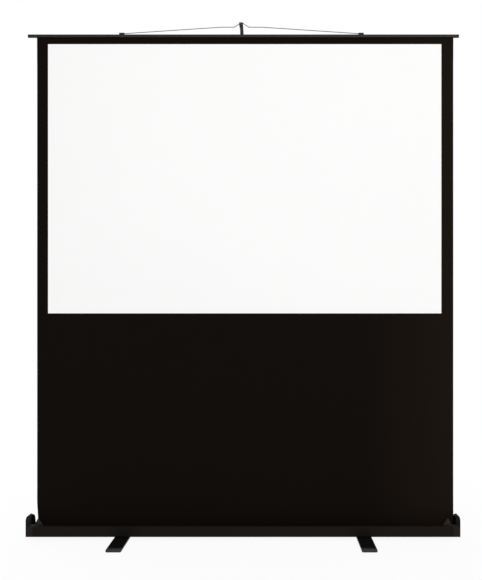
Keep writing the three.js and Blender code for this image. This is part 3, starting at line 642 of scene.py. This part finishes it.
def build_spigot(mesh):
    """The lining that reaches into the case."""
    front, base = case_low.y + CASE_WALL + PLAY, case_low.z + CASE_WALL + PLAY
    rear, top = case_high.y - CASE_WALL - PLAY, case_high.z - CASE_WALL - PLAY
    thick = CAP_SPIGOT_THICKNESS
    lining = outline([
        (front, base, 0),
        (rear, base, 0),
        (rear, base + thick, thick / 3),
        (front + thick, base + thick, thick / 2),
        (front + thick, top, thick / 3),
        (front, top, 0),
    ])
    prism(mesh, "X", lining, case_high.x - CAP_SPIGOT_LENGTH, case_high.x + CAP_PLATE_THICKNESS)


def build_cap_sleeve(mesh):
    prism(mesh, "X", trough(), case_high.x + PLAY, cap_high.x - CAP_PLATE_THICKNESS / 2)
    build_spigot(mesh)


def build_cap_plate(mesh):
    prism(mesh, "X", plate_outline(), cap_high.x - CAP_PLATE_THICKNESS, cap_high.x)
    build_rim(mesh)


def build_tongue(mesh):
    """The tongue on the lip and the pointed fin on its rear edge."""
    inner, outer = case_high.x, cap_high.x
    rear = case_low.y + CASE_LIP_WIDTH
    front, base = rear - TONGUE_WIDTH, case_high.z + PLAY
    tip, root = inner - TONGUE_LENGTH, outer - CAP_PLATE_THICKNESS / 2
    top = base + TONGUE_THICKNESS
    plan = outline([
        (tip, rear, 0),
        (tip, rear - TONGUE_TIP_WIDTH, TONGUE_THICKNESS),
        (inner, front, TONGUE_WIDTH),
        (root, front, 0),
        (root, rear, 0),
    ])
    prism(mesh, "Z", plan, base, top)
    fin = outline([
        (tip, base, 0),
        (tip + FIN_LENGTH, base, 0),
        (tip + FIN_LENGTH, top, 0),
        (tip + FIN_PEAK_INSET, top + FIN_HEIGHT, FIN_PEAK_RADIUS),
        (tip, top, 0),
    ])
    prism(mesh, "Y", fin, rear - FIN_THICKNESS, rear)


# Screw in the tongue

SCREW_RADIUS = 0.0019
SCREW_HEAD_RADIUS = 0.0036
SOCKET_SHARE = 0.5
SOCKET_DEPTH_SHARE = 0.6
HEAD_ROUNDING_SHARE = 0.3
HEAD_LEVEL_SHARES = (0.0, 0.45, 0.85, 1.0, 1.0)


def socket_head(mesh, axis, u, v, seat, crown, radius):
    """A screw head from its seat to its crown, rounded over, with a six-sided socket."""
    height = crown - seat
    socket = SOCKET_SHARE * radius
    rounding = HEAD_ROUNDING_SHARE * radius
    course = [
        circle(u, v, radius),
        circle(u, v, radius),
        circle(u, v, radius - rounding / 3),
        circle(u, v, radius - rounding),
        hexagon(u, v, socket),
        hexagon(u, v, socket),
    ]
    levels = [seat + height * share for share in (*HEAD_LEVEL_SHARES, 1 - SOCKET_DEPTH_SHARE)]
    enclose(mesh, [ring(mesh, axis, points, level) for points, level in zip(course, levels)])


def build_cap_screw(mesh):
    low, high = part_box("right_cap_screw")
    x, y = (low.x + high.x) / 2, (low.y + high.y) / 2
    seat = case_high.z + PLAY + TONGUE_THICKNESS
    socket_head(mesh, "Z", x, y, seat, high.z, SCREW_HEAD_RADIUS)
    lathe(mesh, "Z", x, y, [(low.z, SCREW_RADIUS), (seat + PLAY, SCREW_RADIUS)])


def add_case():
    piece("case_extrusion", build_case, "case", case_black, ["case_body"], SMALL_EDGE)
    for side in ("left", "right"):
        left = side == "left"
        piece(f"{side}_cap_sleeve", build_cap_sleeve, "case", cap_black, (),
              MOULDED_EDGE, mirror=left)
        piece(f"{side}_cap_plate", build_cap_plate, "case", plate_shaded_black,
              [f"{side}_end_cap"], MOULDED_EDGE, mirror=left)
        piece(f"{side}_cap_tongue", build_tongue, "case", tongue_lit_black, (),
              MOULDED_EDGE, mirror=left)
        piece(f"{side}_tongue_screw", build_cap_screw, "case", screw_dark,
              [f"{side}_cap_screw"], edge=0, mirror=left)
        softened(f"{side}_roller_bracket", "case", zinc)


# Roller

def add_roller():
    for node, body, slot, material in (
        ("roller_tube", "roller", "zinc_steel", zinc),
        ("roller_spring_plug", "roller", "small_plastic", small_black),
        ("roller_idler_plug", "roller", "small_plastic", small_black),
        ("spring_mandrel", "case", "zinc_steel", zinc),
        ("roller_spring", "case", "zinc_steel", zinc),
    ):
        softened(node, body, material, SMALL_EDGE)


# Sheet, its white coat, top border and hem, and the turns on the roller

CLOTH_THICKNESS = 0.0005
CLOTH_COLUMNS = 128
CLOTH_ROWS = 120
BORDER_ROWS = 3
SHEET_GRIP = 0.002  # how far the sheet reaches into the bar
COAT_THICKNESS = 0.0003
COAT_LIFT = 0.00003  # between the coat and the sheet
CURL_WIDTH = 0.030
CURL_DEPTH = 0.0022
HOLD_SHARE = 1 / 12  # of the height, at each end, over which the bar and the roller hold the edges flat
RIPPLE_DEPTH = 0.0007
RIPPLE_PITCH = 0.46
RIPPLE_WANDER = 1.35
DRAWN_IN = 0.0055
DRAWN_IN_TOP = 0.105  # where it starts, above the sheet's lower end
DRAWN_IN_RUN = 0.085  # the height over which it grows
DRAWN_IN_REACH = 0.12  # the width from the left edge over which it fades
STORED_TURNS = 2
TURN_STEPS = 48
TURN_FILL_SHARE = 0.9  # of a turn's pitch that the cloth fills, so that the turns stay apart

sheet_low, sheet_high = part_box("screen_sheet")
view_low, view_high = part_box("viewing_area")
roll_low, roll_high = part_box("fabric_roll")
bar_low, bar_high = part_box("top_bar")
roller_z = (roll_low.z + roll_high.z) / 2
roll_radius = (roll_high.z - roll_low.z) / 2
sheet_front_y = view_high.y
sheet_top_z = bar_low.z + SHEET_GRIP


def stand_back(x, z):
    """How far the hanging cloth stands behind its flat plane at a point."""
    middle = (sheet_low.x + sheet_high.x) / 2
    half = (sheet_high.x - sheet_low.x) / 2
    share = (z - sheet_low.z) / (sheet_top_z - sheet_low.z)
    free = math.sin(math.pi * clamped(share))
    hold = smooth(min(share, 1 - share) / HOLD_SHARE)
    edge = max(0.0, abs(x - middle) - (half - CURL_WIDTH)) / CURL_WIDTH
    wander = math.sin(2 * math.pi * z / RIPPLE_WANDER)
    ripple = math.sin(2 * math.pi * (x - middle) / RIPPLE_PITCH + wander)
    return CURL_DEPTH * edge * edge * hold + RIPPLE_DEPTH * ripple * free


def drawn_in(x, z):
    """How far the cloth's left edge is drawn in, over the last run above the case."""
    below = (sheet_low.z + DRAWN_IN_TOP - z) / DRAWN_IN_RUN
    near = 1 - (x - sheet_low.x) / DRAWN_IN_REACH
    return DRAWN_IN * clamped(below) * clamped(near)


def cloth_layer(mesh, x_range, z_range, offset, rows):
    """A grid of points on the hanging cloth, moved along Y by an offset."""
    layer = []
    for j in range(rows + 1):
        z = z_range[0] + (z_range[1] - z_range[0]) * j / rows
        row = []
        for i in range(CLOTH_COLUMNS + 1):
            x = x_range[0] + (x_range[1] - x_range[0]) * i / CLOTH_COLUMNS
            place = (x + drawn_in(x, z), sheet_front_y + offset + stand_back(x, z), z)
            row.append(mesh.verts.new(place))
        layer.append(row)
    return layer


def cloth_slab(mesh, x_range, z_range, front, back, rows=CLOTH_ROWS):
    """A thin closed slab whose faces follow the hanging cloth."""
    layers = [cloth_layer(mesh, x_range, z_range, offset, rows) for offset in (front, back)]
    for layer in layers:
        for low, high in zip(layer, layer[1:]):
            for i in range(CLOTH_COLUMNS):
                mesh.faces.new((low[i], low[i + 1], high[i + 1], high[i]))
    loops = []
    for layer in layers:
        right = [row[-1] for row in layer[1:-1]]
        left = [row[0] for row in layer[-2:0:-1]]
        loops.append(layer[0] + right + layer[-1][::-1] + left)
    bridge(mesh, *loops)


def build_sheet(mesh):
    """The part that winds onto the roller, up to the top of the white area."""
    x_range, z_range = (sheet_low.x, sheet_high.x), (sheet_low.z, view_high.z)
    cloth_slab(mesh, x_range, z_range, 0.0, CLOTH_THICKNESS)


def build_top_border(mesh):
    """The border above the white area, which stays out with the bar."""
    x_range, z_range = (sheet_low.x, sheet_high.x), (view_high.z, sheet_top_z)
    cloth_slab(mesh, x_range, z_range, 0.0, CLOTH_THICKNESS, BORDER_ROWS)


def build_coat(mesh):
    x_range, z_range = (view_low.x, view_high.x), (view_low.z, view_high.z)
    cloth_slab(mesh, x_range, z_range, -COAT_THICKNESS, -COAT_LIFT)


def build_hem(mesh):
    radius = (sheet_high.y - sheet_low.y) / 2
    middle_y = (sheet_high.y + sheet_low.y) / 2
    lathe(mesh, "X", middle_y, sheet_high.z - radius, [(sheet_low.x, radius), (sheet_high.x, radius)])


def build_stored_turns(mesh):
    """The turns that stay on the roller, wound in a spiral from the side where the sheet leaves."""
    count = STORED_TURNS * TURN_STEPS
    inner_radius = roll_radius - STORED_TURNS * CLOTH_THICKNESS
    layer = CLOTH_THICKNESS * TURN_FILL_SHARE
    outside, inside = [], []
    for i in range(count + 1):
        angle = 2 * math.pi * i / TURN_STEPS
        radius = roll_radius - (roll_radius - inner_radius) * i / count
        for points, reach in ((outside, radius), (inside, radius - layer)):
            points.append((reach * math.cos(angle), roller_z - reach * math.sin(angle)))
    prism(mesh, "X", outside + inside[::-1], roll_low.x, roll_high.x)


def add_sheet():
    sheet = piece("screen_cloth", build_sheet, "case", sheet_black, ["screen_sheet"], edge=0)
    coat = piece("viewing_coat", build_coat, "case", sheet_white, ["viewing_area"], edge=0)
    border = piece("sheet_top_border", build_top_border, "screen_bar", sheet_black, edge=0)
    hem = piece("sheet_hem", build_hem, "screen_bar", sheet_black, edge=0)
    turns = piece("stored_turns", build_stored_turns, "roller", sheet_black,
                  ["fabric_roll"], edge=0)
    for cloth_piece in (sheet, coat):
        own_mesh(cloth_piece)


# Top bar and its caps

BAR_FRONT_RADIUS = 0.004
BAR_REAR_RADIUS = 0.0015
BAR_FOOT_RADIUS = 0.0006
BAR_SKIN = 0.0014
BAR_CHANNEL_HALF = 0.004
BAR_PLUG_LENGTH = 0.012
BAR_CAP_EDGE = 0.0008

bar_middle_y = (bar_low.y + bar_high.y) / 2


def bar_outer():
    return [
        (bar_high.y, bar_low.z, BAR_FOOT_RADIUS),
        (bar_high.y, bar_high.z, BAR_REAR_RADIUS),
        (bar_low.y, bar_high.z, BAR_FRONT_RADIUS),
        (bar_low.y, bar_low.z, BAR_FOOT_RADIUS),
    ]


def build_bar(mesh):
    """An extrusion with a channel that opens downward in a slot for the cloth."""
    slot = CLOTH_THICKNESS / 2 + PLAY
    channel, middle = BAR_CHANNEL_HALF, bar_middle_y
    base, top = bar_low.z, bar_high.z - BAR_SKIN
    points = outline(bar_outer() + [
        (middle - slot, base, 0),
        (middle - slot, base + BAR_SKIN, 0),
        (middle - channel, base + BAR_SKIN, 0),
        (middle - channel, top, 0),
        (middle + channel, top, 0),
        (middle + channel, base + BAR_SKIN, 0),
        (middle + slot, base + BAR_SKIN, 0),
        (middle + slot, base, 0),
    ])
    prism(mesh, "X", points, bar_low.x, bar_high.x)


def build_bar_cap(mesh):
    """The right cap, with a plug in the bar's channel."""
    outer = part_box("right_bar_cap")[1].x
    start = bar_high.x + PLAY
    prism(mesh, "X", outline(bar_outer()), start, outer)
    plug = rectangle(bar_middle_y - BAR_CHANNEL_HALF + PLAY, bar_middle_y + BAR_CHANNEL_HALF - PLAY,
                     bar_low.z + BAR_SKIN + PLAY, bar_high.z - BAR_SKIN - PLAY)
    prism(mesh, "X", plug, start - BAR_PLUG_LENGTH, start + PLAY)


# Wire clips on the bar

CLIP_RADIUS = 0.002
CLIP_FOOT_DEPTH = 0.0012
RIVET_SHARE = 0.3
RIVET_RADIUS = 0.0018
RIVET_HEIGHT = 0.0007


def build_clip(node):
    """A build for one clip, whose rivet sits nearer its outer end."""
    low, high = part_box(node)
    inner, outer = (low.x, high.x) if low.x > 0 else (high.x, low.x)
    rivet_x = outer + (inner - outer) * RIVET_SHARE

    def build(mesh):
        foot = low.z - CLIP_FOOT_DEPTH
        side = outline([
            (low.y, foot, 0),
            (high.y, foot, 0),
            (high.y, high.z, CLIP_RADIUS),
            (low.y, high.z, CLIP_RADIUS),
        ])
        prism(mesh, "X", side, low.x, high.x)
        profile = [
            (high.z - RIVET_HEIGHT, RIVET_RADIUS),
            (high.z + RIVET_HEIGHT / 2, RIVET_RADIUS),
            (high.z + RIVET_HEIGHT, RIVET_RADIUS / 2),
        ]
        lathe(mesh, "Z", rivet_x, (low.y + high.y) / 2, profile)
    return build


# Mast tubes, and the hook that the bail leans to

HEAD_WIDTH = 0.013
FINGER_STAND_OFF = 0.013
TUBE_RADIUS = 0.0015
TUBE_WALL = 0.0012

mast_low, mast_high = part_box("mast_outer_tube")
mast_y = (mast_low.y + mast_high.y) / 2
hook_y = mast_y - HEAD_WIDTH / 2 - FINGER_STAND_OFF


def build_mast_tube(node):
    """A build for one square tube of the mast."""
    low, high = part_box(node)

    def build(mesh):
        outer = rectangle(low.x, high.x, low.y, high.y, TUBE_RADIUS)
        wall = TUBE_WALL
        inner = rectangle(low.x + wall, high.x - wall, low.y + wall, high.y - wall, TUBE_RADIUS / 3)
        tube(mesh, "Z", outer, inner, low.z, high.z)
    return build


# Bail

WIRE_RADIUS = 0.0015
GRIP_HALF = 0.085
GRIP_REACH = 0.0345
PEAK_HALF = 0.030
PEAK_REACH = 0.0603
TAIL_LENGTH = 0.016
SLOPE_START_GAP = 0.0033
WIRE_BEND = 0.006
PEAK_BEND = 0.0022


def build_bail(mesh):
    """One wire from tail to tail: slopes, flat grips and the peak, in its leaning plane."""
    left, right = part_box("left_bail_wire")[0].x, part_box("right_bail_wire")[1].x
    middle, half = (left + right) / 2, (right - left) / 2
    axis = Vector(joint("bail_swing")["pos_m"])
    lean = math.asin((hook_y - axis.y) / PEAK_REACH)
    corners = [
        (half, 0.0),
        (half - TAIL_LENGTH - SLOPE_START_GAP, 0.0),
        (GRIP_HALF, GRIP_REACH),
        (PEAK_HALF, GRIP_REACH),
        (0.0, PEAK_REACH),
    ]
    corners += [(-x, reach) for x, reach in corners[-2::-1]]
    points = [Vector((middle + x, axis.y + reach * math.sin(lean), axis.z + reach * math.cos(lean)))
              for x, reach in corners]
    side_bends = [WIRE_BEND] * 3
    sweep(mesh, rounded_path(points, [*side_bends, PEAK_BEND, *side_bends]), WIRE_RADIUS)


def add_bar():
    piece("bar_extrusion", build_bar, "screen_bar", bar_black, ["top_bar"], SMALL_EDGE)
    for side in ("left", "right"):
        left = side == "left"
        piece(f"{side}_bar_end", build_bar_cap, "screen_bar", cap_black,
              [f"{side}_bar_cap"], BAR_CAP_EDGE, mirror=left)
        node = f"{side}_wire_clip"
        piece(f"{side}_clip_moulding", build_clip(node), "screen_bar", small_black,
              [node], SMALL_EDGE)
    piece("bail_wire", build_bail, "bail", wire_grey,
          ["left_bail_wire", "right_bail_wire"], edge=0)


def add_mast():
    for stage in ("outer", "middle", "inner"):
        node = f"mast_{stage}_tube"
        piece(f"mast_{stage}_stage", build_mast_tube(node), f"mast_{stage}", mast_black,
              [node], SMALL_EDGE)
    for node, body in (
        ("mast_base_plug", "mast_outer"),
        ("lower_clamp_collar", "mast_outer"),
        ("lower_clamp_lever", "lower_lever"),
        ("middle_guide_bush", "mast_middle"),
        ("upper_clamp_collar", "mast_middle"),
        ("upper_clamp_lever", "upper_lever"),
        ("inner_guide_bush", "mast_inner"),
        ("mast_stow_clip", "case"),
    ):
        softened(node, body, small_black)
    softened("mast_head", "mast_inner", head_black)
    softened("mast_bracket", "case", bracket_black)
    for node, body in (
        ("mast_pivot_pin", "case"),
        ("mast_bracket_bolt_1", "case"),
        ("mast_bracket_bolt_2", "case"),
        ("stow_clip_bolt", "case"),
        ("lower_clamp_pin", "mast_outer"),
        ("upper_clamp_pin", "mast_middle"),
    ):
        softened(node, body, zinc, SMALL_EDGE)


# Feet

FOOT_RADIUS = 0.005
FOOT_WALL = 0.0016


def build_foot(node):
    """A build for one foot, a flat tube along Y."""
    low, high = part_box(node)

    def build(mesh):
        outer = rectangle(low.x, high.x, low.z, high.z, FOOT_RADIUS)
        wall = FOOT_WALL
        inner = rectangle(low.x + wall, high.x - wall, low.z + wall, high.z - wall, FOOT_RADIUS - wall)
        tube(mesh, "Y", outer, inner, low.y, high.y)
    return build


def add_feet():
    for side in ("left", "right"):
        body = f"{side}_foot_arm"
        node = f"{side}_foot"
        piece(f"{side}_foot_tube", build_foot(node), body, foot_black, [node], SMALL_EDGE)
        for end in ("front", "rear"):
            softened(f"{side}_foot_{end}_cap", body, foot_grey)
            softened(f"{side}_foot_{end}_pad", body, rubber_black)
        softened(f"{side}_foot_bolt", "case", zinc, SMALL_EDGE)
        softened(f"{side}_foot_washer", "case", small_black, SMALL_EDGE)


# Stage

def seen_directly(tree):
    """One for the camera, for mirrors and through glass; nought for all else."""
    path = tree.nodes.new("ShaderNodeLightPath")
    seen = path.outputs["Is Camera Ray"]
    for kind in ("Is Glossy Ray", "Is Transmission Ray"):
        seen = combined(tree, "MAXIMUM", seen, path.outputs[kind])
    return seen


def add_world():
    world = bpy.data.worlds.new("studio")
    world.use_nodes = True
    bpy.context.scene.world = world
    tree = world.node_tree
    background = tree.nodes["Background"]
    background.inputs["Color"].default_value = (1, 1, 1, 1)
    level = ranged(tree, seen_directly(tree), WORLD_LEVEL, 1.0, WHOLE_RANGE)
    tree.links.new(level, background.inputs["Strength"])


def floor_material():
    """Matt white under a glow for direct views, weaker near the object so that its shadow shows."""
    material, tree, shader = start_material("floor_white", 1.0, 0.0, 0.0)
    shader.inputs["Base Color"].default_value = (FLOOR_WHITE, FLOOR_WHITE, FLOOR_WHITE, 1)
    glow = tree.nodes.new("ShaderNodeEmission")
    distance = tree.nodes.new("ShaderNodeVectorMath")
    distance.operation = "LENGTH"
    tree.links.new(place_texture(tree), distance.inputs[0])
    share = ranged(tree, distance.outputs["Value"], FLOOR_NEAR_GLOW_SHARE, 1.0, FLOOR_GLOW_RADII)
    factor = combined(tree, "MULTIPLY", share, seen_directly(tree))
    blend = tree.nodes.new("ShaderNodeMixShader")
    tree.links.new(factor, blend.inputs["Fac"])
    tree.links.new(shader.outputs["BSDF"], blend.inputs[1])
    tree.links.new(glow.outputs["Emission"], blend.inputs[2])
    tree.links.new(blend.outputs["Shader"], tree.nodes["Material Output"].inputs["Surface"])
    return material


def add_floor():
    """A floor that keeps the shadow near the object and runs out into the white background."""
    data = bpy.data.meshes.new("floor")
    half = FLOOR_SIZE / 2
    corners = [(-half, -half, 0), (half, -half, 0), (half, half, 0), (-half, half, 0)]
    data.from_pydata(corners, [], [range(len(corners))])
    data.materials.append(floor_material())
    floor = bpy.data.objects.new("floor", data)
    bpy.context.scene.collection.objects.link(floor)


def add_lamp(name, place, size, power):
    data = bpy.data.lights.new(name, "AREA")
    data.shape = "SQUARE"
    data.size = size
    data.energy = power
    lamp = bpy.data.objects.new(name, data)
    lamp.location = place
    toward = Vector((0, 0, AIM_HEIGHT)) - Vector(place)
    lamp.rotation_mode = "QUATERNION"
    lamp.rotation_quaternion = toward.to_track_quat("-Z", "Y")
    bpy.context.scene.collection.objects.link(lamp)


def add_camera():
    data = bpy.data.cameras.new("camera")
    data.sensor_width = CAMERA_SENSOR
    data.lens = CAMERA_LENS
    data.shift_x, data.shift_y = CAMERA_SHIFT
    camera = bpy.data.objects.new("camera", data)
    camera.location = CAMERA_PLACE
    camera.rotation_euler = (math.pi / 2, 0, 0)
    bpy.context.scene.collection.objects.link(camera)
    bpy.context.scene.camera = camera


add_camera()
add_case()
add_roller()
add_sheet()
add_bar()
add_mast()
add_feet()
add_world()
add_floor()
add_lamp("key", KEY_PLACE, KEY_SIZE, KEY_POWER)
add_lamp("rim", RIM_PLACE, RIM_SIZE, RIM_POWER)
bpy.context.scene.view_settings.view_transform = "Standard"

bpy.context.view_layer.update()
